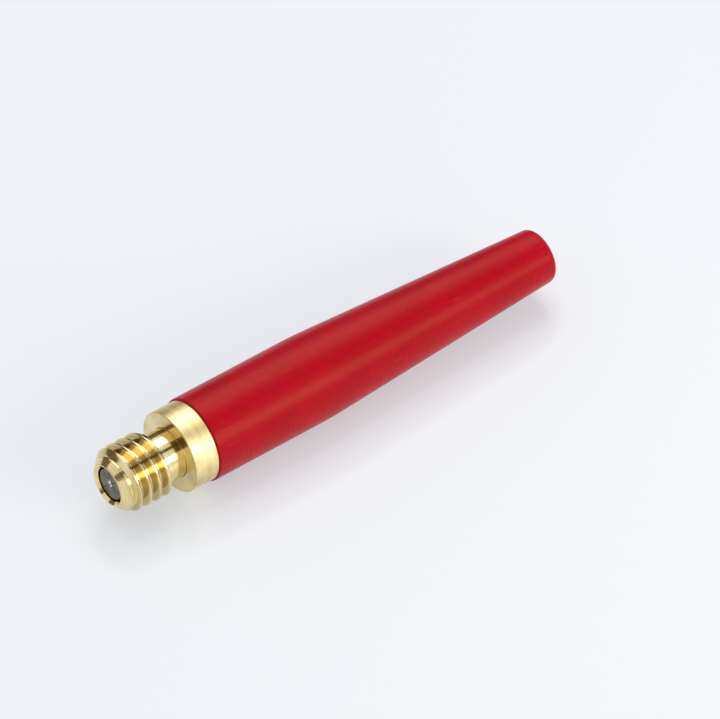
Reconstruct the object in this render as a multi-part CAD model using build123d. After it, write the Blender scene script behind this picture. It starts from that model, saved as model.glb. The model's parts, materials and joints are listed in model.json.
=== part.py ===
from build123d import *
import math
import os

# Pin vise drill: a turned plastic handle with a screwed-in brass chuck nose.
#
# The tool's axis is the X axis. X = 0 is the front face of the brass collar, where a chuck cap
# stops, -X runs to the tip of the threaded nose and +X runs to the palm end of the handle.
# All sizes are in millimetres and +Z is up when the tool lies on its side.

# ---------------------------------------------------------------- driving sizes
# nose: the threaded brass piece that carries the collet
nose_length = 13.1            # tip of the nose to the collar's front face
nose_thread_diameter = 12.0   # M12 x 2 outside thread for the chuck cap
nose_thread_pitch = 2.0
nose_thread_length = 9.4      # from the tip, the lead-in chamfer included
nose_tip_diameter = 7.6       # small end of the lead-in chamfer
nose_lead_in = 2.2            # length of the lead-in chamfer
nose_thread_phase = 327.0     # turn of the thread about the axis, in degrees
thread_end_chamfer = 0.6
neck_diameter = 9.0
chuck_bore_diameter = 6.3
chuck_bore_mouth = 0.5        # countersink at the mouth of the chuck bore
chuck_bore_floor = -0.4       # X of the chuck bore's flat floor

# tang: the back end of the nose, which screws into the handle
tang_diameter = 7.0           # M7 x 1
tang_pitch = 1.0
tang_thread_length = 8.0
tang_end_chamfer = 0.6
tang_groove_width = 0.9       # groove for the wire ring that keeps the collar ring on the tang
tang_groove_depth = 0.44

# collar ring
collar_diameter = 14.7
collar_length = 4.8
collar_edge = 0.12            # broken edge at the front
collar_back_edge = 0.2
shoulder_recess = 0.4         # depth that the nose's shoulder sits into the collar
snap_pocket_depth = 1.3       # counterbore in the collar's back for its snap ring

# handle
handle_length = 74.5
grip_diameter = 15.3          # the parallel front part of the handle
grip_length = 24.9            # from the collar to where the taper starts
palm_end_diameter = 9.84      # where the taper meets the plane of the end
shoulder_blend_radius = 80.0  # soft turn from the parallel part into the taper
palm_end_rounding = 1.0
handle_front_edge = 0.25
storage_diameter = 6.6        # blind bore that holds spare drills
storage_end = 60.0            # X where the full diameter of the storage bore ends
drill_point_angle = 118.0     # of the drill that makes the storage bore

# brass insert in the handle's mouth
insert_diameter = 10.0
insert_length = 10.0
insert_groove_depth = 0.35
insert_groove_width = 1.0
insert_groove_count = 3

# collet
collet_recess = 0.6           # from the nose's tip to the collet's face
collet_length = 7.9
collet_rim_chamfer = 0.3
drill_hole_diameter = 0.8
drill_countersink_diameter = 1.7
grip_hole_length = 3.6        # length of the small hole that grips the drill
collet_tail_bore = 2.4
collet_groove_depth = 0.51    # groove for the wire ring that keeps the collet in the nose
slit_width = 0.16
slit_length = 4.9
slit_count = 2                # cuts right across, which leave twice as many jaws
slit_angle = 45.0             # of the first cut, about the axis
collet_travel = 1.2           # how far a chuck cap pushes the collet back
tail_to_ring = 1.1            # from the collet's tail to the middle of its snap ring

# spring and its stop screw
spring_wire = 0.4
spring_turns = 4.0
spring_fitted_length = 3.0
seat_thickness = 0.6
stop_diameter = 4.0           # M4 x 0.5 fine
stop_pitch = 0.5
stop_length = 6.0
stop_point_diameter = 1.7     # plain point, where the back of a drill comes to rest
stop_point_length = 4.2
stop_slot_width = 0.6
stop_slot_depth = 0.9

# snap rings, both bent from round wire
collar_ring_wire = 0.8
collet_ring_wire = 0.7
snap_ring_arc = 318.0

# ---------------------------------------------------------------- clearances
running_clearance = 0.05      # radial, between a turned shaft and its bore
bond_clearance = 0.02         # radial, filled with adhesive
free_clearance = 0.3          # radial, where pieces pass without guiding each other
side_clearance = 0.05         # along the axis, beside a wire ring in its groove
spring_clearance = 0.02       # along the axis, at each end of the spring
spring_side_clearance = 0.45  # radial, between the spring and the chuck bore
cutter_overshoot = 0.4        # radial, how far a cutter stands out past what it cuts

# ---------------------------------------------------------------- metric thread form
flank_angle = 30.0            # each flank from square to the axis
thread_depth_share = 0.6134   # depth of an outside thread, as a share of its pitch
root_flat_share = 1 / 6       # flat at the bottom of the groove, as a share of its pitch

# ---------------------------------------------------------------- places along the axis
tip_x = -nose_length
thread_end_x = tip_x + nose_thread_length
shoulder_x = shoulder_recess
snap_pocket_x = collar_length - snap_pocket_depth
tang_thread_x = collar_length
tang_end_x = tang_thread_x + tang_thread_length
insert_end_x = collar_length + insert_length
handle_end_x = collar_length + handle_length
taper_x = collar_length + grip_length
collet_face_x = tip_x + collet_recess
collet_tail_x = collet_face_x + collet_length
collet_ring_x = collet_tail_x - tail_to_ring
seat_x = collet_tail_x + spring_fitted_length
stop_front_x = seat_x + seat_thickness
stop_end_x = stop_front_x + stop_length
collar_ring_x = snap_pocket_x + side_clearance + collar_ring_wire / 2

# ---------------------------------------------------------------- diameters that follow a fit
collet_diameter = chuck_bore_diameter - 2 * running_clearance
collar_ring_inside = tang_diameter - 2 * tang_groove_depth + 2 * running_clearance
collet_ring_inside = collet_diameter - 2 * collet_groove_depth + 2 * running_clearance
spring_outside_diameter = chuck_bore_diameter - 2 * spring_side_clearance


# ---------------------------------------------------------------- helpers
def turned(*outline):
    """A solid turned about the X axis from (x, radius) corners, listed round its section."""
    return revolve(make_face(Polyline(*outline, close=True)), axis=Axis.X)


def rod(start, end, diameter):
    """A plain cylinder on the axis, from one X to another."""
    return turned((start, 0), (start, diameter / 2), (end, diameter / 2), (end, 0))


def thread_groove(diameter, pitch, start, end, phase=0.0):
    """The space between the turns of an outside thread with 60 degree flanks."""
    root = diameter / 2 - thread_depth_share * pitch
    root_half = root_flat_share * pitch / 2
    mouth = diameter / 2 + cutter_overshoot
    mouth_half = root_half + (mouth - root) * math.tan(math.radians(flank_angle))
    section = make_face(Polyline(
        (root, 0, -root_half), (root, 0, root_half), (mouth, 0, mouth_half), (mouth, 0, -mouth_half),
        close=True,
    ))
    path = Helix(pitch=pitch, height=end - start, radius=root)
    groove = sweep(section, path=path, is_frenet=True)
    return Pos(start, 0, 0) * Rot(phase, 0, 0) * Rot(0, 90, 0) * groove


def threaded(blank, diameter, pitch, start, end, phase=0.0):
    """A turned blank with an outside thread cut into it, from one X to another.

    The groove is cut in a plain bar that is longer than the blank and the groove, so it always
    starts and ends inside the bar, and the bar is then cut down to the blank.
    """
    box = blank.bounding_box()
    bar_start = min(box.min.X, start) - pitch
    bar_end = max(box.max.X, end) + pitch
    bar = rod(bar_start, bar_end, diameter) - thread_groove(diameter, pitch, start, end, phase)
    return blank & bar


def wire_ring(x, inside_diameter, wire):
    """An open ring of round wire, with its gap at the bottom."""
    middle = inside_diameter / 2 + wire / 2
    section = Pos(x, middle, 0) * Circle(wire / 2)
    ring = revolve(section, axis=Axis.X, revolution_arc=snap_ring_arc)
    return Rot(-90 + (360 - snap_ring_arc) / 2, 0, 0) * ring


# ---------------------------------------------------------------- pieces
def handle_grip():
    """Red plastic handle: parallel, then tapered to a flat rounded palm end."""
    grip = grip_diameter / 2
    palm = palm_end_diameter / 2
    outline = FilletPolyline(
        (collar_length, grip), (taper_x, grip), (handle_end_x, palm), (handle_end_x, 0),
        radius=[shoulder_blend_radius, palm_end_rounding],
    )
    closing = Polyline((handle_end_x, 0), (collar_length, 0), (collar_length, grip))
    body = revolve(make_face(outline + closing), axis=Axis.X)
    mouth = body.edges().filter_by(GeomType.CIRCLE).group_by(Axis.X)[0]
    body = chamfer(mouth, handle_front_edge)
    storage = storage_diameter / 2
    point = storage / math.tan(math.radians(drill_point_angle / 2))
    pocket = rod(collar_length, insert_end_x, insert_diameter + 2 * bond_clearance)
    bore = turned(
        (collar_length, 0), (collar_length, storage), (storage_end, storage), (storage_end + point, 0)
    )
    return body - pocket - bore


def handle_insert():
    """Brass threaded insert bonded into the handle's mouth, grooved outside to key the adhesive."""
    body = rod(collar_length, insert_end_x, insert_diameter)
    body -= rod(collar_length, insert_end_x, tang_diameter + 2 * running_clearance)
    spacing = insert_length / (insert_groove_count + 1)
    floor = insert_diameter - 2 * insert_groove_depth
    for number in range(1, insert_groove_count + 1):
        middle = collar_length + number * spacing
        start, end = middle - insert_groove_width / 2, middle + insert_groove_width / 2
        body -= rod(start, end, insert_diameter + 2 * cutter_overshoot) - rod(start, end, floor)
    return body


def collar_ring():
    """Brass ring between the nose's shoulder and the handle."""
    outer = collar_diameter / 2
    bore = tang_diameter / 2 + running_clearance
    seat = neck_diameter / 2 + running_clearance
    pocket = collar_ring_inside / 2 + collar_ring_wire + free_clearance
    return turned(
        (0, seat + collar_edge), (0, outer - collar_edge), (collar_edge, outer),
        (collar_length - collar_back_edge, outer), (collar_length, outer - collar_back_edge),
        (collar_length, pocket), (snap_pocket_x, pocket), (snap_pocket_x, bore),
        (shoulder_x, bore), (shoulder_x, seat), (collar_edge, seat),
    )


def collar_snap_ring():
    """Wire ring in the tang's groove, which keeps the collar ring on the nose."""
    return wire_ring(collar_ring_x, collar_ring_inside, collar_ring_wire)


def nose_body():
    """Brass nose: lead-in, cap thread, neck, shoulder, plain journal and threaded tang."""
    thread = nose_thread_diameter / 2
    neck = neck_diameter / 2
    tang = tang_diameter / 2
    groove_front = collar_ring_x - tang_groove_width / 2
    groove_back = collar_ring_x + tang_groove_width / 2
    front = turned(
        (tip_x, 0), (tip_x, nose_tip_diameter / 2), (tip_x + nose_lead_in, thread),
        (thread_end_x - thread_end_chamfer, thread), (thread_end_x, thread - thread_end_chamfer),
        (thread_end_x, neck), (shoulder_x, neck), (shoulder_x, 0),
    )
    front = threaded(
        front, nose_thread_diameter, nose_thread_pitch, tip_x - nose_thread_pitch,
        thread_end_x + nose_thread_pitch / 2, nose_thread_phase,
    )
    back = turned(
        (shoulder_x, 0), (shoulder_x, tang),
        (groove_front, tang), (groove_front, tang - tang_groove_depth),
        (groove_back, tang - tang_groove_depth), (groove_back, tang),
        (tang_end_x - tang_end_chamfer, tang), (tang_end_x, tang - tang_end_chamfer), (tang_end_x, 0),
    )
    back = threaded(back, tang_diameter, tang_pitch, tang_thread_x, tang_end_x + tang_pitch)
    body = front + back
    bore = chuck_bore_diameter / 2
    relief = collet_ring_inside / 2 + collet_ring_wire + free_clearance
    relief_front = collet_ring_x - collet_ring_wire / 2 - side_clearance
    relief_back = collet_ring_x + collet_ring_wire / 2 + side_clearance + collet_travel
    body -= turned(
        (tip_x, 0), (tip_x, bore + chuck_bore_mouth), (tip_x + chuck_bore_mouth, bore),
        (relief_front, bore), (relief_front, relief), (relief_back, relief), (relief_back, bore),
        (chuck_bore_floor, bore), (chuck_bore_floor, 0),
    )
    return body - rod(chuck_bore_floor, tang_end_x, stop_diameter)


def collet():
    """Steel collet: split jaws round a fine drill hole, and a solid tail with a ring groove."""
    outer = collet_diameter / 2
    hole = drill_hole_diameter / 2
    sink = drill_countersink_diameter / 2
    sink_x = collet_face_x + sink - hole
    grip_end = sink_x + grip_hole_length
    tail = collet_tail_bore / 2
    groove = outer - collet_groove_depth
    groove_half = collet_ring_wire / 2 + side_clearance
    body = turned(
        (collet_face_x, sink), (collet_face_x, outer - collet_rim_chamfer),
        (collet_face_x + collet_rim_chamfer, outer),
        (collet_ring_x - groove_half, outer), (collet_ring_x - groove_half, groove),
        (collet_ring_x + groove_half, groove), (collet_ring_x + groove_half, outer),
        (collet_tail_x, outer), (collet_tail_x, tail), (grip_end + tail - hole, tail),
        (grip_end, hole), (sink_x, hole),
    )
    slit_across = collet_diameter + 2 * cutter_overshoot
    slit = Pos(collet_face_x + slit_length / 2, 0, 0) * Box(slit_length, slit_across, slit_width)
    for number in range(slit_count):
        body -= Rot(slit_angle + 180 * number / slit_count, 0, 0) * slit
    return body


def collet_snap_ring():
    """Wire ring in the collet's groove. It stops on the front of the nose's relief."""
    return wire_ring(collet_ring_x, collet_ring_inside, collet_ring_wire)


def collet_spring():
    """Steel wire spring behind the collet, with both ends ground flat."""
    radius = (spring_outside_diameter - spring_wire) / 2
    path = Helix(pitch=spring_fitted_length / spring_turns, height=spring_fitted_length, radius=radius)
    section = Plane(origin=path @ 0, z_dir=path % 0) * Circle(spring_wire / 2)
    coil = Pos(collet_tail_x, 0, 0) * Rot(0, 90, 0) * sweep(section, path=path, is_frenet=True)
    ground = rod(
        collet_tail_x + spring_clearance, seat_x - spring_clearance,
        spring_outside_diameter + 2 * cutter_overshoot,
    )
    return coil & ground


def spring_seat():
    """Steel washer that the spring bears on and the stop screw pushes."""
    washer = rod(seat_x, stop_front_x, chuck_bore_diameter - 2 * running_clearance)
    return washer - rod(seat_x, stop_front_x, stop_point_diameter + 2 * running_clearance)


def stop_screw():
    """Slotted steel screw: it sets the spring and its point stops the back of the drill."""
    crest = stop_diameter / 2 - running_clearance
    root = crest - thread_depth_share * stop_pitch
    point = stop_point_diameter / 2
    point_x = stop_front_x - stop_point_length
    body = turned(
        (point_x, 0), (point_x, point), (stop_front_x, point), (stop_front_x, root),
        (stop_front_x + crest - root, crest), (stop_end_x - crest + root, crest),
        (stop_end_x, root), (stop_end_x, 0),
    )
    body = threaded(body, 2 * crest, stop_pitch, stop_front_x, stop_end_x + stop_pitch)
    slot = Box(stop_slot_depth, stop_diameter, stop_slot_width)
    return body - Pos(stop_end_x - stop_slot_depth / 2, 0, 0) * slot


pieces = {
    "handle_grip": handle_grip,
    "handle_insert": handle_insert,
    "collar_ring": collar_ring,
    "collar_snap_ring": collar_snap_ring,
    "nose_body": nose_body,
    "collet": collet,
    "collet_snap_ring": collet_snap_ring,
    "collet_spring": collet_spring,
    "spring_seat": spring_seat,
    "stop_screw": stop_screw,
}

os.makedirs("parts", exist_ok=True)
for node, make in pieces.items():
    shape = make()
    shape.label = node
    export_step(shape, f"parts/{node}.step")
    box = shape.bounding_box()
    print(f"{node:18s} x {box.min.X:8.3f} to {box.max.X:8.3f}   volume {shape.volume:9.2f}")
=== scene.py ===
# %% [markdown]
# # A pin vise drill, lying on a pale table
#
# A pin vise is a hand drill for model making. A turned red plastic handle carries a brass
# collar and a brass nose, and the nose holds a small steel collet that grips the drill.
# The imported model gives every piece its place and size. This lesson gives the pieces that
# show their smooth turned shapes, and gives every piece its finish.

# %% Load the frame
import json
import math

import bmesh
import bpy
from mathutils import Matrix, Vector


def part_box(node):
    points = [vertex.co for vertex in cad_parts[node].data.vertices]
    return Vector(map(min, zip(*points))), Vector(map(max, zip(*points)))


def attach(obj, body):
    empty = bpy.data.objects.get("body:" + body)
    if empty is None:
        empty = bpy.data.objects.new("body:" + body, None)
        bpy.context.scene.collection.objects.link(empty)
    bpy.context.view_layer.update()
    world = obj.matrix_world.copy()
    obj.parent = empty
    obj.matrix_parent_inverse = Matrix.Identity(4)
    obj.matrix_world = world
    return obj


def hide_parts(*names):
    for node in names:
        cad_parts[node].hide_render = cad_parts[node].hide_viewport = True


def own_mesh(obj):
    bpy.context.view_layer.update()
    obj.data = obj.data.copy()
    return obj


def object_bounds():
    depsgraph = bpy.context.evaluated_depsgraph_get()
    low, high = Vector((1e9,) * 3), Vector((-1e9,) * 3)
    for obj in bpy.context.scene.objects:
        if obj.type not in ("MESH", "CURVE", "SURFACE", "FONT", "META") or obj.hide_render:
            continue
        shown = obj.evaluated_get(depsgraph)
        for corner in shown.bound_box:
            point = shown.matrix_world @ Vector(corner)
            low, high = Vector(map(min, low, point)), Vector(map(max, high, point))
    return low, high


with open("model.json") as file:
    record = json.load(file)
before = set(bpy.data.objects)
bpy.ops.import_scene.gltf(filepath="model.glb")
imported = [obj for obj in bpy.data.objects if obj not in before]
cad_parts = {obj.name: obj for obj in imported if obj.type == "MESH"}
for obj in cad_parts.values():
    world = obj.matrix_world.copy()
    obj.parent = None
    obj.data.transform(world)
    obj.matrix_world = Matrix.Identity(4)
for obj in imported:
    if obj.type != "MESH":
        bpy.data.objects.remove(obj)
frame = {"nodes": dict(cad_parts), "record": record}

cad_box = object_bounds()
print("nodes", sorted(frame["nodes"]))

# %% [markdown]
# ## Places along the tool
#
# The tool's axis is the X axis, and X = 0 is the collar's front face. The boxes of the packed
# nodes and the record's mounts give the lengths and the outside sizes. What they don't say,
# such as the neck's diameter, is written once here in millimetres.

# %% Sizes from the frame
MM = 0.001


def ends(node):
    """Front and back of a node along the axis, and its outside radius, in millimetres."""
    low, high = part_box(node)
    return low[0] / MM, high[0] / MM, high[2] / MM


mounts = {mount["name"]: mount for mount in frame["record"]["mounts"]}

nose_front, nose_back, cap_thread_radius = ends("nose_body")
collar_front, collar_back, collar_radius = ends("collar_ring")
handle_front, handle_back, grip_radius = ends("handle_grip")
_, insert_back, insert_radius = ends("handle_insert")
collet_front, collet_back, collet_radius = ends("collet")
seat_front, _, _ = ends("spring_seat")
cap_thread_length = mounts["cap_thread"]["dims"]["length_mm"]
drill_hole_radius = mounts["drill_hole"]["dims"]["r_mm"]
drill_hole_length = mounts["drill_hole"]["dims"]["length_mm"]
print("nose", nose_front, nose_back, "cap thread", cap_thread_radius, cap_thread_length)
print("collar", collar_front, collar_back, collar_radius)
print("handle", handle_front, handle_back, grip_radius)

# %% [markdown]
# ## Turning a shape on a lathe
#
# Most of this tool is turned, so most pieces are one outline spun round the axis. On a real
# lathe no corner is left razor sharp, so a corner may have a rounding: it becomes an arc, with
# one more point just outside each end of the arc. Those two points keep the smooth shading of
# the arc from spreading over the flat face beside it.

# %% Outlines with rounded corners
ARC_STEP = math.radians(15)     # most that an arc turns from one of its points to the next
ARC_STEPS = 3                   # fewest steps in an arc
GUARD_SHARE = 0.3               # of the rounding, from the arc's end to its guard point
BROKEN_EDGE = 0.1               # millimetres, the usual rounding of a corner
SMALL_EDGE = 0.05               # of a corner inside the tool


def arc_points(before, corner, after, rounding):
    """The points of one rounded corner, guards included."""
    back = (before - corner).normalized()
    onward = (after - corner).normalized()
    half = back.angle(onward) / 2
    reach = rounding / math.tan(half)
    centre = corner + (back + onward).normalized() * rounding / math.sin(half)
    spoke = corner + back * reach - centre
    turn = math.copysign(math.pi - 2 * half, onward.cross(back))
    steps = max(ARC_STEPS, math.ceil(abs(turn) / ARC_STEP))
    arc = [centre + Matrix.Rotation(turn * step / steps, 2) @ spoke for step in range(steps + 1)]
    guard_back = min(GUARD_SHARE * rounding, ((before - corner).length - reach) / 4)
    guard_on = min(GUARD_SHARE * rounding, ((after - corner).length - reach) / 4)
    return [arc[0] + back * guard_back] + arc + [arc[-1] + onward * guard_on]


def rounded(corners, closed):
    """Corners (x, radius, rounding) as outline points (x, radius), in millimetres."""
    points = []
    count = len(corners)
    for number, (x, radius, rounding) in enumerate(corners):
        corner = Vector((x, radius))
        inside = closed or 0 < number < count - 1
        if rounding and inside:
            before = Vector(corners[number - 1][:2])
            after = Vector(corners[(number + 1) % count][:2])
            points += arc_points(before, corner, after, rounding)
        else:
            points.append(corner)
    return points

# %% [markdown]
# Blender's spin operator carries an outline round the axis and welds the last step to the
# first. Points of the outline that lie on the axis all land on one place, so the shell is
# welded and cleaned once more, and its normals are turned outwards.

# %% Spinning an outline round the axis
WELD = 1e-7                     # metres, points nearer than this become one
SMOOTH_ANGLE = math.radians(24)  # a bend sharper than this stays a crisp edge


def outline_in(bm, points, closed):
    """Puts an outline of (x, radius) points into a bmesh, in the plane above the axis."""
    verts = [bm.verts.new((point[0] * MM, 0, point[1] * MM)) for point in points]
    edges = [bm.edges.new(pair) for pair in zip(verts, verts[1:])]
    if closed:
        edges.append(bm.edges.new((verts[-1], verts[0])))
    return verts + edges


def tidy_shell(bm):
    """Welds doubles, drops faces with no area and turns all faces outwards."""
    bmesh.ops.remove_doubles(bm, verts=bm.verts, dist=WELD)
    bmesh.ops.dissolve_degenerate(bm, edges=bm.edges, dist=WELD)
    bmesh.ops.recalc_face_normals(bm, faces=bm.faces)


def piece_from(bm, name):
    """Makes a finished bmesh into an object with smooth shading."""
    mesh = bpy.data.meshes.new(name)
    bm.to_mesh(mesh)
    bm.free()
    mesh.shade_smooth()
    mesh.set_sharp_from_angle(angle=SMOOTH_ANGLE)
    piece = bpy.data.objects.new(name, mesh)
    bpy.context.scene.collection.objects.link(piece)
    return piece


def lathe(name, corners, steps, closed=True):
    """A turned piece. An outline that isn't closed starts and ends on the axis."""
    bm = bmesh.new()
    geometry = outline_in(bm, rounded(corners, closed), closed)
    bmesh.ops.spin(
        bm, geom=geometry, cent=(0, 0, 0), axis=(1, 0, 0), dvec=(0, 0, 0),
        angle=2 * math.pi, steps=steps, use_merge=True, use_duplicate=False,
    )
    tidy_shell(bm)
    return piece_from(bm, name)


def report(piece):
    """Prints what was made, and whether its skin is closed."""
    bm = bmesh.new()
    bm.from_mesh(piece.data)
    open_edges = sum(not edge.is_manifold for edge in bm.edges)
    print(piece.name, "faces", len(bm.faces), "open edges", open_edges, "volume mm3",
          round(bm.calc_volume() / MM ** 3, 2))
    bm.free()

# %% [markdown]
# ## The handle
#
# The real handle is turned from a red acetal bar: a parallel grip, a soft shoulder, a long
# straight taper and a flat palm end with a rounded rim. A blind bore in it holds spare drills,
# and a wider pocket at its mouth takes the brass insert. One open outline, from the bottom of
# the bore round to the middle of the palm end, gives both the inside and the outside.

# %% Handle
GRIP_LENGTH = 24.9              # from the collar to where the taper starts
PALM_RADIUS = 4.92              # where the taper meets the plane of the palm end
SHOULDER_BLEND = 80.0           # radius of the soft turn from grip to taper
PALM_ROUNDING = 1.0
MOUTH_EDGE = 0.25               # rounded edge beside the collar
STORAGE_RADIUS = 3.3
STORAGE_END = 60.0
DRILL_POINT_HALF = math.radians(59)  # half the angle of the point that ends the bore
BOND_GAP = 0.02                 # for adhesive
STORAGE_TIP = STORAGE_END + STORAGE_RADIUS / math.tan(DRILL_POINT_HALF)

pocket_radius = insert_radius + BOND_GAP
handle = lathe("turned_handle", [
    (STORAGE_TIP, 0, 0),
    (STORAGE_END, STORAGE_RADIUS, BROKEN_EDGE),
    (insert_back, STORAGE_RADIUS, BROKEN_EDGE),
    (insert_back, pocket_radius, BROKEN_EDGE),
    (handle_front, pocket_radius, BROKEN_EDGE),
    (handle_front, grip_radius, MOUTH_EDGE),
    (handle_front + GRIP_LENGTH, grip_radius, SHOULDER_BLEND),
    (handle_back, PALM_RADIUS, PALM_ROUNDING),
    (handle_back, 0, 0),
], closed=False, steps=256)
report(handle)

# %% [markdown]
# ## The collar
#
# A plain brass ring, clamped between the nose's shoulder and the handle. Its front edge is only
# just broken, so it catches a hair-thin line of light. A shallow seat in its bore takes the
# nose's shoulder, and a pocket in its back takes a wire ring. All of it is one closed outline.

# %% Collar
NECK_RADIUS = 4.5
RUNNING_GAP = 0.05
FREE_GAP = 0.3
TANG_RADIUS = 3.5
SEAT_DEPTH = 0.4
RING_POCKET_DEPTH = 1.3
TANG_GROOVE_DEPTH = 0.44
COLLAR_RING_WIRE = 0.8
FRONT_EDGE = 0.12
BACK_EDGE = 0.2

seat_bore = NECK_RADIUS + RUNNING_GAP
tang_bore = TANG_RADIUS + RUNNING_GAP
ring_pocket = TANG_RADIUS - TANG_GROOVE_DEPTH + RUNNING_GAP + COLLAR_RING_WIRE + FREE_GAP
ring_pocket_front = collar_back - RING_POCKET_DEPTH
collar = lathe("polished_collar", [
    (collar_front, seat_bore, BROKEN_EDGE),
    (collar_front, collar_radius, FRONT_EDGE),
    (collar_back, collar_radius, BACK_EDGE),
    (collar_back, ring_pocket, SMALL_EDGE),
    (ring_pocket_front, ring_pocket, SMALL_EDGE),
    (ring_pocket_front, tang_bore, SMALL_EDGE),
    (SEAT_DEPTH, tang_bore, SMALL_EDGE),
    (SEAT_DEPTH, seat_bore, SMALL_EDGE),
], steps=256)
report(collar)

# %% [markdown]
# ## Cutting a thread
#
# A screw thread is one tooth of the thread's outline, spun round the axis while it moves along
# it by one pitch in each turn. Blender's spin operator does both at once: `dvec` is the move
# in each step. It makes one turn here, and copies of that turn, each one pitch further on, make
# the rest, because spin slows down as a mesh grows. The result is a long threaded bar, which is
# trimmed flat at both ends and then crossed with the turned blank, so the thread fades out on
# the nose's lead-in cone just as a real one does. The crests get a small rounding, because that
# is where a polished thread shows its bright lines.

# %% One tooth of the thread
FLANK = math.radians(30)
DEPTH_SHARE = 0.6134            # of the pitch, the depth of a metric outside thread
ROOT_FLAT_SHARE = 1 / 6         # of the pitch
CREST_ROUNDING_SHARE = 0.04     # of the pitch
ROOT_ROUNDING_SHARE = 0.06


def tooth(radius, pitch):
    """One pitch of the thread's outline, from the middle of a groove to the next."""
    root = radius - DEPTH_SHARE * pitch
    root_half = ROOT_FLAT_SHARE * pitch / 2
    crest_start = root_half + DEPTH_SHARE * pitch * math.tan(FLANK)
    return rounded([
        (0, root, 0),
        (root_half, root, ROOT_ROUNDING_SHARE * pitch),
        (crest_start, radius, CREST_ROUNDING_SHARE * pitch),
        (pitch - crest_start, radius, CREST_ROUNDING_SHARE * pitch),
        (pitch - root_half, root, ROOT_ROUNDING_SHARE * pitch),
        (pitch, root, 0),
    ], closed=False)

# %% Threaded bar
TURN_STEPS = 120                # in one turn of a thread


def cap_end(bm, x, outwards):
    """Trims the bar flat at x and closes it there."""
    cut = bmesh.ops.bisect_plane(
        bm, geom=bm.verts[:] + bm.edges[:] + bm.faces[:], dist=WELD, plane_co=(x * MM, 0, 0),
        plane_no=(outwards, 0, 0), clear_outer=True, clear_inner=False,
    )
    rim = [item for item in cut["geom_cut"] if isinstance(item, bmesh.types.BMEdge)]
    bmesh.ops.triangle_fill(bm, edges=rim, use_beauty=True, use_dissolve=False)


def threaded_bar(name, radius, pitch, start, end, groove_x):
    """A closed bar with a right-hand thread. A groove crosses the plane above the axis at groove_x."""
    turns = math.ceil((end - start) / pitch) + 3
    first = groove_x - math.ceil((groove_x - start) / pitch + 1) * pitch
    bm = bmesh.new()
    points = [(first + point[0], point[1]) for point in tooth(radius, pitch)]
    geometry = outline_in(bm, points, closed=False)
    bmesh.ops.spin(
        bm, geom=geometry, cent=(0, 0, 0), axis=(1, 0, 0), dvec=(pitch * MM / TURN_STEPS, 0, 0),
        angle=2 * math.pi, steps=TURN_STEPS, use_merge=False, use_duplicate=False,
    )
    one_turn = bm.verts[:] + bm.edges[:] + bm.faces[:]
    for number in range(1, turns):
        copy = bmesh.ops.duplicate(bm, geom=one_turn)["geom"]
        moved = [item for item in copy if isinstance(item, bmesh.types.BMVert)]
        bmesh.ops.translate(bm, verts=moved, vec=(number * pitch * MM, 0, 0))
    tidy_shell(bm)
    cap_end(bm, start, -1)
    cap_end(bm, end, 1)
    tidy_shell(bm)
    return piece_from(bm, name)

# %% [markdown]
# ## Crossing two shapes
#
# A boolean modifier keeps what two closed shapes share, joins them, or takes one away from the
# other. Its result is read back into a bmesh and cleaned, so that no live modifier is left.

# %% Crossing two shapes
def crossed(piece, tool, operation):
    """Cuts a piece with a closed tool, which is used up. operation is INTERSECT, UNION or DIFFERENCE."""
    cut = piece.modifiers.new("cut", "BOOLEAN")
    cut.object = tool
    cut.operation = operation
    cut.solver = "MANIFOLD"
    graph = bpy.context.evaluated_depsgraph_get()
    bm = bmesh.new()
    bm.from_mesh(bpy.data.meshes.new_from_object(piece.evaluated_get(graph)))
    tidy_shell(bm)
    name = piece.name
    for used in (piece, tool):
        bpy.data.objects.remove(used)
    result = piece_from(bm, name)
    result.name = name
    return result

# %% [markdown]
# ## The nose
#
# One brass turning: a bored face, a 45 degree lead-in, the coarse cap thread, a plain neck, a
# shoulder, and the finer tang thread that screws into the handle. The blank is lathed with its
# bores, then crossed with two threaded bars that are joined end to end. The neck and the
# shoulder are thinner than the bars' roots, so they pass through the crossing untouched. The
# blank stands out a little past the crests, so that every crest comes from the thread alone.

# %% Nose sizes
TIP_RADIUS = 3.8
CAP_PITCH = 2.0
TANG_PITCH = 1.0
THREAD_END_CHAMFER = 0.6
TANG_END_CHAMFER = 0.6
TANG_GROOVE_WIDTH = 0.9
CHUCK_BORE_RADIUS = 3.15
CHUCK_BORE_MOUTH = 0.5          # countersink at the mouth
CHUCK_BORE_FLOOR = -0.4
STOP_BORE_RADIUS = 2.0
COLLET_RING_X = -5.7
COLLET_RING_WIRE = 0.7
COLLET_GROOVE_DEPTH = 0.51
COLLET_TRAVEL = 1.2
SIDE_GAP = 0.05
MOUTH_ROUNDING = 0.06
TIP_ROUNDING = 0.15
OVERSIZE = 0.3                  # how far the blank stands out past the thread's crest

# %% Nose blank
thread_end = nose_front + cap_thread_length
blank_radius = cap_thread_radius + OVERSIZE
lead_in = blank_radius - TIP_RADIUS
ring_groove_x = ring_pocket_front + SIDE_GAP + COLLAR_RING_WIRE / 2
ring_groove_front = ring_groove_x - TANG_GROOVE_WIDTH / 2
ring_groove_back = ring_groove_x + TANG_GROOVE_WIDTH / 2
tang_blank = TANG_RADIUS + OVERSIZE
tang_floor = TANG_RADIUS - TANG_GROOVE_DEPTH
relief_radius = collet_radius - COLLET_GROOVE_DEPTH + RUNNING_GAP + COLLET_RING_WIRE + FREE_GAP
relief_front = COLLET_RING_X - COLLET_RING_WIRE / 2 - SIDE_GAP
relief_back = COLLET_RING_X + COLLET_RING_WIRE / 2 + SIDE_GAP + COLLET_TRAVEL
end_slope = THREAD_END_CHAMFER + OVERSIZE
tang_slope = TANG_END_CHAMFER + OVERSIZE
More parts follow.
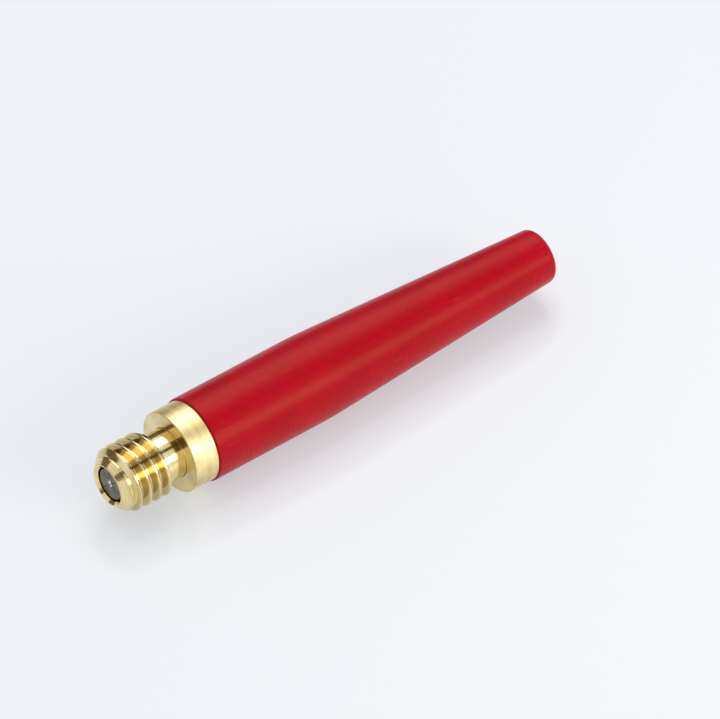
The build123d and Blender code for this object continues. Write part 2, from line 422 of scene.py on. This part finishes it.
nose = lathe("threaded_nose", [
    (nose_front, CHUCK_BORE_RADIUS + CHUCK_BORE_MOUTH, MOUTH_ROUNDING),
    (nose_front, TIP_RADIUS, TIP_ROUNDING),
    (nose_front + lead_in, blank_radius, 0),
    (thread_end - end_slope, blank_radius, 0),
    (thread_end, cap_thread_radius - THREAD_END_CHAMFER, BROKEN_EDGE),
    (thread_end, NECK_RADIUS, BROKEN_EDGE),
    (SEAT_DEPTH, NECK_RADIUS, SMALL_EDGE),
    (SEAT_DEPTH, TANG_RADIUS, SMALL_EDGE),
    (ring_groove_front, TANG_RADIUS, SMALL_EDGE),
    (ring_groove_front, tang_floor, SMALL_EDGE),
    (ring_groove_back, tang_floor, SMALL_EDGE),
    (ring_groove_back, TANG_RADIUS, SMALL_EDGE),
    (collar_back, TANG_RADIUS, 0),
    (collar_back, tang_blank, 0),
    (nose_back - tang_slope, tang_blank, 0),
    (nose_back, TANG_RADIUS - TANG_END_CHAMFER, SMALL_EDGE),
    (nose_back, STOP_BORE_RADIUS, BROKEN_EDGE),
    (CHUCK_BORE_FLOOR, STOP_BORE_RADIUS, SMALL_EDGE),
    (CHUCK_BORE_FLOOR, CHUCK_BORE_RADIUS, SMALL_EDGE),
    (relief_back, CHUCK_BORE_RADIUS, SMALL_EDGE),
    (relief_back, relief_radius, SMALL_EDGE),
    (relief_front, relief_radius, SMALL_EDGE),
    (relief_front, CHUCK_BORE_RADIUS, SMALL_EDGE),
    (nose_front + CHUCK_BORE_MOUTH, CHUCK_BORE_RADIUS, MOUTH_ROUNDING),
], steps=240)
report(nose)

# %% [markdown]
# The bars reach past the blank at both ends, so no face of one lies in a face of the other,
# which keeps the crossing clean. The cap thread's start angle sets where its crests leave the
# lead-in cone.

# %% Nose threads
NOSE_THREAD_TURN = 147.0 / 360  # of a turn, from the plane above the axis to a groove's start
BAR_MARGIN = 1.0                # how far a bar reaches past the blank
BAR_LAP = 0.1                   # how far the two bars reach into each other

cap_groove_x = nose_front - CAP_PITCH - NOSE_THREAD_TURN * CAP_PITCH
cap_bar = threaded_bar(
    "cap_bar", cap_thread_radius, CAP_PITCH, nose_front - BAR_MARGIN, collar_back, cap_groove_x,
)
tang_bar = threaded_bar(
    "tang_bar", TANG_RADIUS, TANG_PITCH, collar_back - BAR_LAP, nose_back + BAR_MARGIN,
    collar_back - TANG_PITCH / 2,
)
report(cap_bar)
report(tang_bar)
cap_bar = crossed(cap_bar, tang_bar, "UNION")
nose = crossed(nose, cap_bar, "INTERSECT")
report(nose)

# %% [markdown]
# ## The collet
#
# A hardened steel collet sits just inside the bore. Its face is dished round a fine drill hole
# and its front is cut into four jaws by two slits. A saw could cut them 0.2 mm wide, but they
# close as the jaws grip, so they are drawn finer. It is lathed, then slit with two thin blades.

# %% Collet
COLLET_RIM = 0.3
COUNTERSINK_RADIUS = 0.85
TAIL_BORE_RADIUS = 1.2
SLIT_WIDTH = 0.08
SLIT_LENGTH = 4.9
SLIT_ANGLES = (45, 135)         # about the axis
COLLET_EDGE = 0.08
FINE_EDGE = 0.04

sink_x = collet_front + COUNTERSINK_RADIUS - drill_hole_radius
grip_end = sink_x + drill_hole_length
groove_half = COLLET_RING_WIRE / 2 + SIDE_GAP
collet_groove = collet_radius - COLLET_GROOVE_DEPTH
collet = lathe("split_collet", [
    (collet_front, COUNTERSINK_RADIUS, FINE_EDGE),
    (collet_front, collet_radius - COLLET_RIM, COLLET_EDGE),
    (collet_front + COLLET_RIM, collet_radius, COLLET_EDGE),
    (COLLET_RING_X - groove_half, collet_radius, FINE_EDGE),
    (COLLET_RING_X - groove_half, collet_groove, FINE_EDGE),
    (COLLET_RING_X + groove_half, collet_groove, FINE_EDGE),
    (COLLET_RING_X + groove_half, collet_radius, FINE_EDGE),
    (collet_back, collet_radius, BROKEN_EDGE),
    (collet_back, TAIL_BORE_RADIUS, BROKEN_EDGE),
    (grip_end + TAIL_BORE_RADIUS - drill_hole_radius, TAIL_BORE_RADIUS, 0),
    (grip_end, drill_hole_radius, 0),
    (sink_x, drill_hole_radius, FINE_EDGE),
], steps=160)

# %% Slits
def blade(angle):
    """A thin closed blade across the collet, turned about the axis."""
    bm = bmesh.new()
    bmesh.ops.create_cube(bm, size=1)
    across = 2 * (collet_radius + BAR_MARGIN)
    length = SLIT_LENGTH + BAR_MARGIN
    bmesh.ops.scale(bm, vec=Vector((length, across, SLIT_WIDTH)) * MM, verts=bm.verts)
    middle = collet_front + SLIT_LENGTH - length / 2
    bmesh.ops.translate(bm, vec=(middle * MM, 0, 0), verts=bm.verts)
    turn = Matrix.Rotation(math.radians(angle), 3, "X")
    bmesh.ops.rotate(bm, cent=(0, 0, 0), matrix=turn, verts=bm.verts)
    return piece_from(bm, f"blade_{angle}")


for slit_angle in SLIT_ANGLES:
    collet = crossed(collet, blade(slit_angle), "DIFFERENCE")
report(collet)

# %% [markdown]
# ## The collet's spring
#
# Four turns of drawn wire between the collet's tail and a washer. The wire's section is spun
# about the axis with a move along it, like the thread, and both ends are ground flat. When a
# chuck cap pushes the collet back, the spring shortens.

# %% Spring
SPRING_OUTSIDE_RADIUS = 2.7
SPRING_WIRE_RADIUS = 0.2
SPRING_TURNS = 4
SPRING_GAP = 0.02
SPRING_STEPS = 48               # in one turn of the wire
WIRE_SIDES = 16                 # of the wire's round section


def coil(name):
    """The spring between the collet and its washer."""
    length = seat_front - collet_back
    radius = SPRING_OUTSIDE_RADIUS - SPRING_WIRE_RADIUS
    bm = bmesh.new()
    centre = Matrix.Translation((collet_back * MM, 0, radius * MM))
    upright = centre @ Matrix.Rotation(math.pi / 2, 4, "X")
    ring = bmesh.ops.create_circle(
        bm, cap_ends=False, radius=SPRING_WIRE_RADIUS * MM, segments=WIRE_SIDES, matrix=upright,
    )
    section = ring["verts"] + bm.edges[:]
    bmesh.ops.spin(
        bm, geom=section, cent=(0, 0, 0), axis=(1, 0, 0),
        dvec=(length * MM / (SPRING_STEPS * SPRING_TURNS), 0, 0), angle=2 * math.pi * SPRING_TURNS,
        steps=SPRING_STEPS * SPRING_TURNS, use_merge=False, use_duplicate=False,
    )
    bmesh.ops.holes_fill(bm, edges=[edge for edge in bm.edges if edge.is_boundary], sides=0)
    cap_end(bm, collet_back + SPRING_GAP, -1)
    cap_end(bm, seat_front - SPRING_GAP, 1)
    tidy_shell(bm)
    return piece_from(bm, name)


spring = coil("collet_coil")
report(spring)

# %% [markdown]
# ## What moves with what
#
# Every piece rides on the body that carries it, and stands for the imported node of the same
# shape.

# %% Who carries each piece
for piece, body, node, slot in (
    (handle, "handle", "handle_grip", "red_acetal"),
    (collar, "collar", "collar_ring", "turned_brass"),
    (nose, "nose", "nose_body", "turned_brass"),
    (collet, "collet", "collet", "blackened_steel"),
    (spring, "nose", "collet_spring", "spring_steel"),
):
    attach(piece, body)
    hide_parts(node)
    print(piece.name, "rides on", body, "for", node)
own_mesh(spring)

# %% [markdown]
# ## One helper for every material
#
# A material here is a small tree of nodes. One function adds a node, sets its options and
# links or fills its inputs. Colours are written as sRGB hex, as a paint chart gives them, and
# one function turns them into the linear values that the renderer works in.

# %% Material helpers
def linear(hex_colour):
    """An sRGB colour such as "#B8001C" as linear red, green, blue and alpha."""
    channels = [int(hex_colour[start:start + 2], 16) / 255 for start in (1, 3, 5)]
    return [c / 12.92 if c <= 0.04045 else ((c + 0.055) / 1.055) ** 2.4 for c in channels] + [1.0]


def add(tree, kind, inputs, **options):
    """Adds a node. inputs maps a socket's name or number to a value or to another socket."""
    node = tree.nodes.new("ShaderNode" + kind)
    for name, value in options.items():
        setattr(node, name, value)
    for key, value in inputs.items():
        if isinstance(value, bpy.types.NodeSocket):
            tree.links.new(value, node.inputs[key])
        else:
            node.inputs[key].default_value = value
    return node


def new_material(name):
    """An empty node material, and its tree."""
    material = bpy.data.materials.new(name)
    material.use_nodes = True
    material.node_tree.nodes.clear()
    return material, material.node_tree


def finish_material(tree, shader):
    add(tree, "OutputMaterial", {"Surface": shader.outputs[0]})


def turned_place(tree):
    """Where a point is on a turned surface: its object place, its X, and its radius, in metres."""
    place = add(tree, "TexCoord", {}).outputs["Object"]
    parts = add(tree, "SeparateXYZ", {0: place})
    across = add(tree, "CombineXYZ", {"Y": parts.outputs["Y"], "Z": parts.outputs["Z"]})
    radius = add(tree, "VectorMath", {0: across.outputs[0]}, operation="LENGTH")
    return place, parts.outputs["X"], radius.outputs["Value"]


def tool_marks(tree, x, radius, feed):
    """Height of the rings that a lathe tool leaves, each about feed metres wide, from 0 to 1.

    The rings read only X and radius, so they run round the shafts and circle on the faces.
    """
    along = add(tree, "CombineXYZ", {"X": x, "Y": radius})
    spaced = add(tree, "VectorMath", {0: along.outputs[0], "Scale": 1 / feed}, operation="SCALE")
    noise = add(tree, "TexNoise", {
        "Vector": spaced.outputs[0], "Scale": 1.0, "Detail": 3.0, "Roughness": 0.6,
    }, noise_dimensions="2D")
    return noise.outputs[0]

# %% [markdown]
# ## Red acetal, turned and lightly polished
#
# Acetal is a hard, slightly waxy plastic that is coloured right through, so a turned handle
# has one even deep red. What gives it away as turned is the fine ring at every turn of the
# lathe, which breaks up each reflection of a lamp into a band of tiny bright lines, and a few
# hairline scratches from use. Its gloss is low and a little warm: a lamp shows as a soft band.

# %% Rings and scratches
FEED = 0.36                     # mm for each turn, drawn a third coarser than real so that it shows
CHATTER = 0.16                  # mm, the width of the uneven rings between them
RING_DEPTH = 0.005              # mm
EVEN_SHARE = 0.3                # of the even rings in the mix of both
RING_SHADE = 0.25               # how far a ring deepens the colour
CLOUD = 9.0                     # mm across, where the colour is a little deeper or lighter
SCRATCH_LENGTH = 5.0            # mm
SCRATCH_WIDTH = 0.14            # mm
SCRATCH_RARITY = 0.78           # of the noise, below which there is no scratch
SCRATCH_EDGE = 0.06             # of the noise, over which a scratch fades in


def feed_rings(tree, x, feed):
    """Height of the even rings that a steady feed leaves along a shaft, from 0 to 1."""
    turns = add(tree, "Math", {0: x, 1: 2 * math.pi / (feed * MM)}, operation="MULTIPLY")
    wave = add(tree, "Math", {0: turns.outputs[0]}, operation="SINE")
    return add(tree, "MapRange", {"Value": wave.outputs[0], "From Min": -1.0}).outputs[0]


def scratches(tree, place):
    """1 on a few hairlines that run along the tool, and 0 between them."""
    across = 1 / (SCRATCH_WIDTH * MM)
    stretched = add(tree, "Mapping", {
        "Vector": place, "Scale": (1 / (SCRATCH_LENGTH * MM), across, across),
    })
    noise = add(tree, "TexNoise", {"Vector": stretched.outputs[0], "Scale": 1.0, "Detail": 0.0})
    return add(tree, "MapRange", {
        "Value": noise.outputs[0], "From Min": SCRATCH_RARITY, "From Max": SCRATCH_RARITY + SCRATCH_EDGE,
    }).outputs[0]

# %% Acetal material
def red_acetal():
    material, tree = new_material("turned red acetal")
    place, x, radius = turned_place(tree)
    rough_rings = tool_marks(tree, x, radius, CHATTER * MM)
    even_rings = feed_rings(tree, x, FEED)
    height = add(tree, "Mix", {0: EVEN_SHARE, 2: rough_rings, 3: even_rings})
    clouds = add(tree, "TexNoise", {"Vector": place, "Scale": 1 / (CLOUD * MM), "Detail": 6.0})
    tone = add(tree, "ValToRGB", {"Fac": clouds.outputs[0]})
    tone.color_ramp.elements[0].position = 0.35
    tone.color_ramp.elements[0].color = linear("#AE001B")
    tone.color_ramp.elements[1].position = 0.68
    tone.color_ramp.elements[1].color = linear("#BA0021")
    shade = add(tree, "Math", {0: height.outputs[0], 1: RING_SHADE}, operation="MULTIPLY")
    ringed = add(tree, "Mix", {
        0: shade.outputs[0], 6: tone.outputs[0], 7: linear("#960019"),
    }, data_type="RGBA")
    worn = add(tree, "Mix", {
        0: scratches(tree, place), 6: ringed.outputs[2], 7: linear("#CC2A2C"),
    }, data_type="RGBA")
    rough = add(tree, "MapRange", {
        "Value": height.outputs[0], "From Min": 0.2, "From Max": 0.8, "To Min": 0.22, "To Max": 0.44,
    })
    rings = add(tree, "Bump", {
        "Height": height.outputs[0], "Strength": 0.5, "Distance": RING_DEPTH * MM,
    })
    shader = add(tree, "BsdfPrincipled", {
        "Base Color": worn.outputs[2], "Roughness": rough.outputs[0],
        "Normal": rings.outputs[0], "IOR": 1.48, "Specular IOR Level": 0.2,
        "Specular Tint": linear("#DCDCA0"),
    })
    finish_material(tree, shader)
    return material

# %% [markdown]
# ## Brass, turned and polished
#
# Free-cutting brass is pale gold. Polished on the lathe it is nearly a mirror, but the polish
# runs round the axis, so reflections are drawn out along the tool and a face shows fine
# circles. Light that bounces between the thread's flanks turns a deeper gold each time, which
# the metal's own colour gives by itself. Down in the thread's grooves a duller gold is painted
# on as shade, and the bore's wall is painted dark as shade too. The collar's rim is handled
# most, so it is satin where the nose is bright: one function makes both.

# %% Brass marks and painted shade
FINE_FEED = 0.25                # mm, width of the fine rings, drawn coarser than real so that they show
WIDE_FEED = 0.7                 # mm, width of the slow waves between them
FINE_DEPTH = 0.003              # mm
WIDE_DEPTH = 0.012              # mm
SMUDGE = 3.5                    # mm across
RING_TONE_SHARE = 0.4           # of the fine rings in the colour, and the rest is smudges
GROOVE_SHADE_TOP = 0.05              # mm below the crest, where the painted shade starts
GROOVE_SHADE_FADE = 0.35             # mm further down, where the painted shade is full
BORE_MARGIN = 0.03              # mm past the bore, so that all of its wall counts as inside
RIM_BAND = 0.3                  # mm below the outside, which counts as the rim
crest_radius = cap_thread_radius - GROOVE_SHADE_TOP
cone_end = nose_front + cap_thread_radius - TIP_RADIUS

# %% Brass material
def turned_brass(name, rim_radius, rim_roughness):
    """Polished brass, whose surface beyond rim_radius less RIM_BAND has a roughness of its own."""
    material, tree = new_material(name)
    place, x, radius = turned_place(tree)
    rings = tool_marks(tree, x, radius, FINE_FEED * MM)
    wide_rings = tool_marks(tree, x, radius, WIDE_FEED * MM)
    clouds = add(tree, "TexNoise", {"Vector": place, "Scale": 1 / (SMUDGE * MM), "Detail": 3.0})
    uneven = add(tree, "Mix", {0: RING_TONE_SHARE, 2: clouds.outputs[0], 3: rings})
    tone = add(tree, "ValToRGB", {"Fac": uneven.outputs[0]})
    tone.color_ramp.elements[0].position = 0.35
    tone.color_ramp.elements[0].color = linear("#D6C084")
    tone.color_ramp.elements[1].position = 0.6
    tone.color_ramp.elements[1].color = linear("#F6E4AE")
    # Down in the thread's grooves the colour is painted a duller, darker gold: painted shade.
    deep = add(tree, "MapRange", {
        "Value": radius, "From Min": crest_radius * MM, "From Max": (crest_radius - GROOVE_SHADE_FADE) * MM,
    })
    on_thread = add(tree, "Math", {0: x, 1: thread_end * MM}, operation="LESS_THAN")
    past_cone = add(tree, "Math", {0: x, 1: cone_end * MM}, operation="GREATER_THAN")
    between = add(tree, "Math", {0: on_thread.outputs[0], 1: past_cone.outputs[0]}, operation="MULTIPLY")
    in_groove = add(tree, "Math", {0: deep.outputs[0], 1: between.outputs[0]}, operation="MULTIPLY")
    groove_shaded = add(tree, "Mix", {
        0: in_groove.outputs[0], 6: tone.outputs[0], 7: linear("#C8B47C"),
    }, data_type="RGBA")
    # The bore's wall is painted a dark brown: painted shade in the recess.
    in_bore = add(tree, "Math", {
        0: radius, 1: (CHUCK_BORE_RADIUS + BORE_MARGIN) * MM,
    }, operation="LESS_THAN")
    in_front = add(tree, "Math", {0: x, 1: CHUCK_BORE_FLOOR * MM}, operation="LESS_THAN")
    painted_bore_shade = add(tree, "Math", {0: in_bore.outputs[0], 1: in_front.outputs[0]}, operation="MULTIPLY")
    colour = add(tree, "Mix", {
        0: painted_bore_shade.outputs[0], 6: groove_shaded.outputs[2], 7: linear("#8A7848"),
    }, data_type="RGBA")
    polish = add(tree, "MapRange", {
        "Value": wide_rings, "From Min": 0.3, "From Max": 0.7, "To Min": 0.1, "To Max": 0.17,
    })
    on_rim = add(tree, "Math", {0: radius, 1: (rim_radius - RIM_BAND) * MM}, operation="GREATER_THAN")
    rough = add(tree, "Mix", {0: on_rim.outputs[0], 2: polish.outputs[0], 3: rim_roughness})
    fine = add(tree, "Bump", {"Height": rings, "Strength": 0.5, "Distance": FINE_DEPTH * MM})
    wide = add(tree, "Bump", {
        "Height": wide_rings, "Strength": 0.5, "Distance": WIDE_DEPTH * MM, "Normal": fine.outputs[0],
    })
    tangent = add(tree, "Tangent", {}, direction_type="RADIAL", axis="X")
    shader = add(tree, "BsdfPrincipled", {
        "Base Color": colour.outputs[2], "Metallic": 1.0, "Roughness": rough.outputs[0],
        "Anisotropic": 0.35, "Tangent": tangent.outputs[0], "Normal": wide.outputs[0],
    })
    finish_material(tree, shader)
    return material

# %% [markdown]
# ## Blackened steel
#
# The collet is hardened steel, faced on the lathe and blackened in hot oil. It looks dark
# grey, a little patchy, with a soft shine on its rings. The dish round its hole is painted a
# pale grey, a painted glint in the dark bore.

# %% Blackened steel
FACING_FEED = 0.25              # mm, drawn coarser than real so that it shows
FACING_DEPTH = 0.01             # mm
PATCH = 2.5                     # mm across
GLINT_SHARE = 0.7              # of the dish's radius, which is bright all over


def blackened_steel():
    material, tree = new_material("oil-blackened steel")
    place, x, radius = turned_place(tree)
    rings = tool_marks(tree, x, radius, FACING_FEED * MM)
    patches = add(tree, "TexNoise", {"Vector": place, "Scale": 1 / (PATCH * MM), "Detail": 1.0})
    mixed = add(tree, "Math", {0: rings, 1: patches.outputs[0]}, operation="ADD")
    tone = add(tree, "ValToRGB", {"Fac": mixed.outputs[0]})
    tone.color_ramp.elements[0].position = 0.8
    tone.color_ramp.elements[0].color = linear("#403D38")
    tone.color_ramp.elements[1].position = 1.0
    tone.color_ramp.elements[1].color = linear("#76726A")
    # The dish round the drill hole is painted pale grey: a painted glint.
    in_sink = add(tree, "MapRange", {
        "Value": radius, "From Min": COUNTERSINK_RADIUS * MM,
        "From Max": GLINT_SHARE * COUNTERSINK_RADIUS * MM,
    })
    painted_glint = add(tree, "Mix", {
        0: in_sink.outputs[0], 6: tone.outputs[0], 7: linear("#D8D6D0"),
    }, data_type="RGBA")
    rough = add(tree, "MapRange", {
        "Value": rings, "From Min": 0.3, "From Max": 0.7, "To Min": 0.24, "To Max": 0.4,
    })
    marks = add(tree, "Bump", {"Height": rings, "Strength": 0.6, "Distance": FACING_DEPTH * MM})
    shader = add(tree, "BsdfPrincipled", {
        "Base Color": painted_glint.outputs[2], "Metallic": 1.0, "Roughness": rough.outputs[0],
        "Normal": marks.outputs[0],
    })
    finish_material(tree, shader)
    return material

# %% [markdown]
# ## Spring steel
#
# Drawn wire is bright and slightly streaky along its length, and a stamped washer has the
# same colour. The streaks are noise stretched round the axis, which is the way the wire runs.

# %% Spring steel
STREAK = 0.08                   # mm across
STREAK_DEPTH = 0.003            # mm


def spring_steel():
    material, tree = new_material("drawn spring steel")
    _, x, radius = turned_place(tree)
    streaks = tool_marks(tree, x, radius, STREAK * MM)
    tone = add(tree, "ValToRGB", {"Fac": streaks})
    tone.color_ramp.elements[0].position = 0.3
    tone.color_ramp.elements[0].color = linear("#9A9A9C")
    tone.color_ramp.elements[1].position = 0.7
    tone.color_ramp.elements[1].color = linear("#C6C6C8")
    rough = add(tree, "MapRange", {
        "Value": streaks, "From Min": 0.3, "From Max": 0.7, "To Min": 0.2, "To Max": 0.34,
    })
    marks = add(tree, "Bump", {"Height": streaks, "Strength": 0.4, "Distance": STREAK_DEPTH * MM})
    shader = add(tree, "BsdfPrincipled", {
        "Base Color": tone.outputs[0], "Metallic": 1.0, "Roughness": rough.outputs[0],
        "Normal": marks.outputs[0],
    })
    finish_material(tree, shader)
    return material

# %% [markdown]
# ## Dressing the pieces
#
# The new pieces get their finish as their only material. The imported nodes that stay, all of
# them inside the tool, keep their mesh and get a finish in the slot that they came with.

# %% Give each piece its finish
NOSE_RIM_ROUGHNESS = 0.14
COLLAR_RIM_ROUGHNESS = 0.38


def dress(thing, material):
    thing.data.materials.clear()
    thing.data.materials.append(material)


acetal = red_acetal()
brass = turned_brass("turned polished brass", cap_thread_radius, NOSE_RIM_ROUGHNESS)
collar_brass = turned_brass("turned brass with a satin rim", collar_radius, COLLAR_RIM_ROUGHNESS)
dark_steel = blackened_steel()
bright_steel = spring_steel()
for piece, material in (
    (handle, acetal), (collar, collar_brass), (nose, brass), (collet, dark_steel),
    (spring, bright_steel),
):
    dress(piece, material)
carried_over = {
    "handle_insert": brass,
    "collar_snap_ring": bright_steel,
    "collet_snap_ring": bright_steel,
    "spring_seat": bright_steel,
    "stop_screw": dark_steel,
}
for node, material in carried_over.items():
    slots = frame["nodes"][node].material_slots
    slots[0].material = material
    print(node, "is", material.name, "slots", len(slots))

# %% [markdown]
# ## The table
#
# The tool lies on its side on a large sheet of pale, slightly glossy plastic. The handle is
# widest at its grip, so that is what touches the table. A sheet lit from below as well keeps
# its shadows light, and a share of glow gives that look here: the camera and the reflections
# see it, but it adds no light to the tool.

# %% Table
TABLE_HALF = 4.0                # metres
TABLE_GLOW = 0.45               # share of the table's own glow, which keeps the shadows on it light

table_mesh = bpy.data.meshes.new("table")
bm = bmesh.new()
bmesh.ops.create_grid(bm, x_segments=1, y_segments=1, size=TABLE_HALF)
bmesh.ops.translate(bm, vec=(0, 0, cad_box[0][2]), verts=bm.verts)
bm.to_mesh(table_mesh)
bm.free()
table = bpy.data.objects.new("table", table_mesh)
bpy.context.scene.collection.objects.link(table)


def seen_directly(tree):
    """1 for a ray from the camera, off a glossy surface or through glass, and 0 for the rest."""
    rays = add(tree, "LightPath", {})
    seen = add(tree, "Math", {
        0: rays.outputs["Is Camera Ray"], 1: rays.outputs["Is Glossy Ray"],
    }, operation="MAXIMUM")
    return add(tree, "Math", {
        0: seen.outputs[0], 1: rays.outputs["Is Transmission Ray"],
    }, operation="MAXIMUM")


table_material, tree = new_material("pale table plastic")
plastic = add(tree, "BsdfPrincipled", {
    "Base Color": linear("#EDF2F8"), "Roughness": 0.22, "IOR": 1.45,
})
glow = add(tree, "Emission", {"Color": linear("#F0F4FA"), "Strength": 1.0})
share = add(tree, "Math", {0: seen_directly(tree).outputs[0], 1: TABLE_GLOW}, operation="MULTIPLY")
shader = add(tree, "MixShader", {0: share.outputs[0], 1: plastic.outputs[0], 2: glow.outputs[0]})
finish_material(tree, shader)
dress(table, table_material)
print("table at height mm", round(cad_box[0][2] / MM, 3))

# %% [markdown]
# ## The camera
#
# The camera looks down at the nose from the front left with a very long lens, so the tool
# shows almost without perspective. The camera's place is worked out from its azimuth, its
# elevation, the point it aims at and its distance.

# %% Camera
AZIMUTH = math.radians(-38.3)
ELEVATION = math.radians(42.7)
AIM_POINT = Vector((28.6, -14.8, 15.4)) * MM
DISTANCE = 1606.6 * MM
LENS = 484.4                    # millimetres
SENSOR_WIDTH = 36               # millimetres

back = Vector((
    math.sin(AZIMUTH) * math.cos(ELEVATION), -math.cos(AZIMUTH) * math.cos(ELEVATION),
    math.sin(ELEVATION),
))
right = Vector((math.cos(AZIMUTH), math.sin(AZIMUTH), 0))
camera_data = bpy.data.cameras.new("camera")
camera_data.lens = LENS
camera_data.sensor_width = SENSOR_WIDTH
camera_data.clip_start = 10 * MM
camera = bpy.data.objects.new("camera", camera_data)
bpy.context.scene.collection.objects.link(camera)
basis = Matrix((right, back.cross(right), back)).transposed().to_4x4()
camera.matrix_world = Matrix.Translation(AIM_POINT + back * DISTANCE) @ basis
bpy.context.scene.camera = camera
bpy.context.scene.view_settings.view_transform = "Standard"
print("camera at", [round(value, 4) for value in camera.matrix_world.translation])

# %% [markdown]
# ## Light
#
# A polished cylinder shows its lamps as long bands, so the lamps are what draws this tool. One
# soft lamp hangs overhead and a narrower one stands in front, both parallel to the tool. The
# room is pale all round. Three dark cards, which only reflections see, give the brass its
# dark bands, as black paper does in a studio: one behind the tool, a narrow one in
# the gap between the lamps, and one beyond the nose, which the neck and the cone see. A turn
# about the tool's axis says where each one is: 0 degrees is level behind it, 90 is overhead
# and 180 is level in front.

# %% How a lamp or card is hung
def hang(thing, turn, out, along):
    """Hangs a lamp or card beside the tool, parallel to it and facing it, by metres out and along."""
    angle = math.radians(turn)
    outwards = Vector((0, math.cos(angle), math.sin(angle)))
    sideways = Vector((1, 0, 0))
    facing = Matrix((sideways, outwards.cross(sideways), outwards)).transposed().to_4x4()
    thing.matrix_world = Matrix.Translation(outwards * out + sideways * along) @ facing


def lamp(name, turn, out, along, length, width, power, colour):
    light = bpy.data.lights.new(name, "AREA")
    light.shape = "RECTANGLE"
    light.size = length
    light.size_y = width
    light.energy = power
    light.color = linear(colour)[:3]
    holder = bpy.data.objects.new(name, light)
    bpy.context.scene.collection.objects.link(holder)
    hang(holder, turn, out, along)
    print(name, "watts", power)


def card(name, turn, out, along, length, width, colour):
    """A dark card that shows only in reflections."""
    mesh = bpy.data.meshes.new(name)
    bm = bmesh.new()
    bmesh.ops.create_grid(bm, x_segments=1, y_segments=1, size=0.5)
    bmesh.ops.scale(bm, vec=(length, width, 1), verts=bm.verts)
    bm.to_mesh(mesh)
    bm.free()
    sheet = bpy.data.objects.new(name, mesh)
    bpy.context.scene.collection.objects.link(sheet)
    hang(sheet, turn, out, along)
    for ray in ("camera", "diffuse", "shadow", "volume_scatter"):
        setattr(sheet, "visible_" + ray, False)
    material, tree = new_material(name)
    finish_material(tree, add(tree, "Emission", {"Color": linear(colour), "Strength": 1.0}))
    dress(sheet, material)

# %% Lamps and cards
OUT = 0.62                      # metres from the axis
LAMP_ALONG = 0.25
LAMP_LENGTH = 0.6

lamp("overhead softbox", turn=68, out=OUT, along=LAMP_ALONG, length=LAMP_LENGTH, width=0.42,
     power=1.7, colour="#FFFAF2")
lamp("front softbox", turn=157, out=OUT, along=LAMP_ALONG, length=LAMP_LENGTH, width=0.24,
     power=2.0, colour="#FFF3E2")
card("back card", turn=10, out=0.7, along=0.0, length=3.2, width=0.58, colour="#6E624F")
card("gap card", turn=114, out=0.58, along=0.0, length=2.6, width=0.13, colour="#564C3E")
card("camera card", turn=118, out=OUT, along=-0.775, length=1.25, width=0.6, colour="#6A5A44")

# %% [markdown]
# ## The room
#
# The room's own light is soft and comes from everywhere. What the camera and the reflections
# see of it is brighter than what it gives to surfaces, so the background stays pale while the
# tool's colours come out as they are written.

# %% Room light
BACKDROP_LEVEL = 0.93           # what the camera, reflections and glass see of the room
ROOM_LEVEL = 0.59               # what the room gives to surfaces

world = bpy.data.worlds.new("pale room")
bpy.context.scene.world = world
world.use_nodes = True
tree = world.node_tree
tree.nodes.clear()
level = add(tree, "MapRange", {
    "Value": seen_directly(tree).outputs[0], "To Min": ROOM_LEVEL, "To Max": BACKDROP_LEVEL,
})
add(tree, "OutputWorld", {
    "Surface": add(tree, "Background", {
        "Color": linear("#FBFBFF"), "Strength": level.outputs[0],
    }).outputs[0],
})

print("room", ROOM_LEVEL, "seen as", BACKDROP_LEVEL)
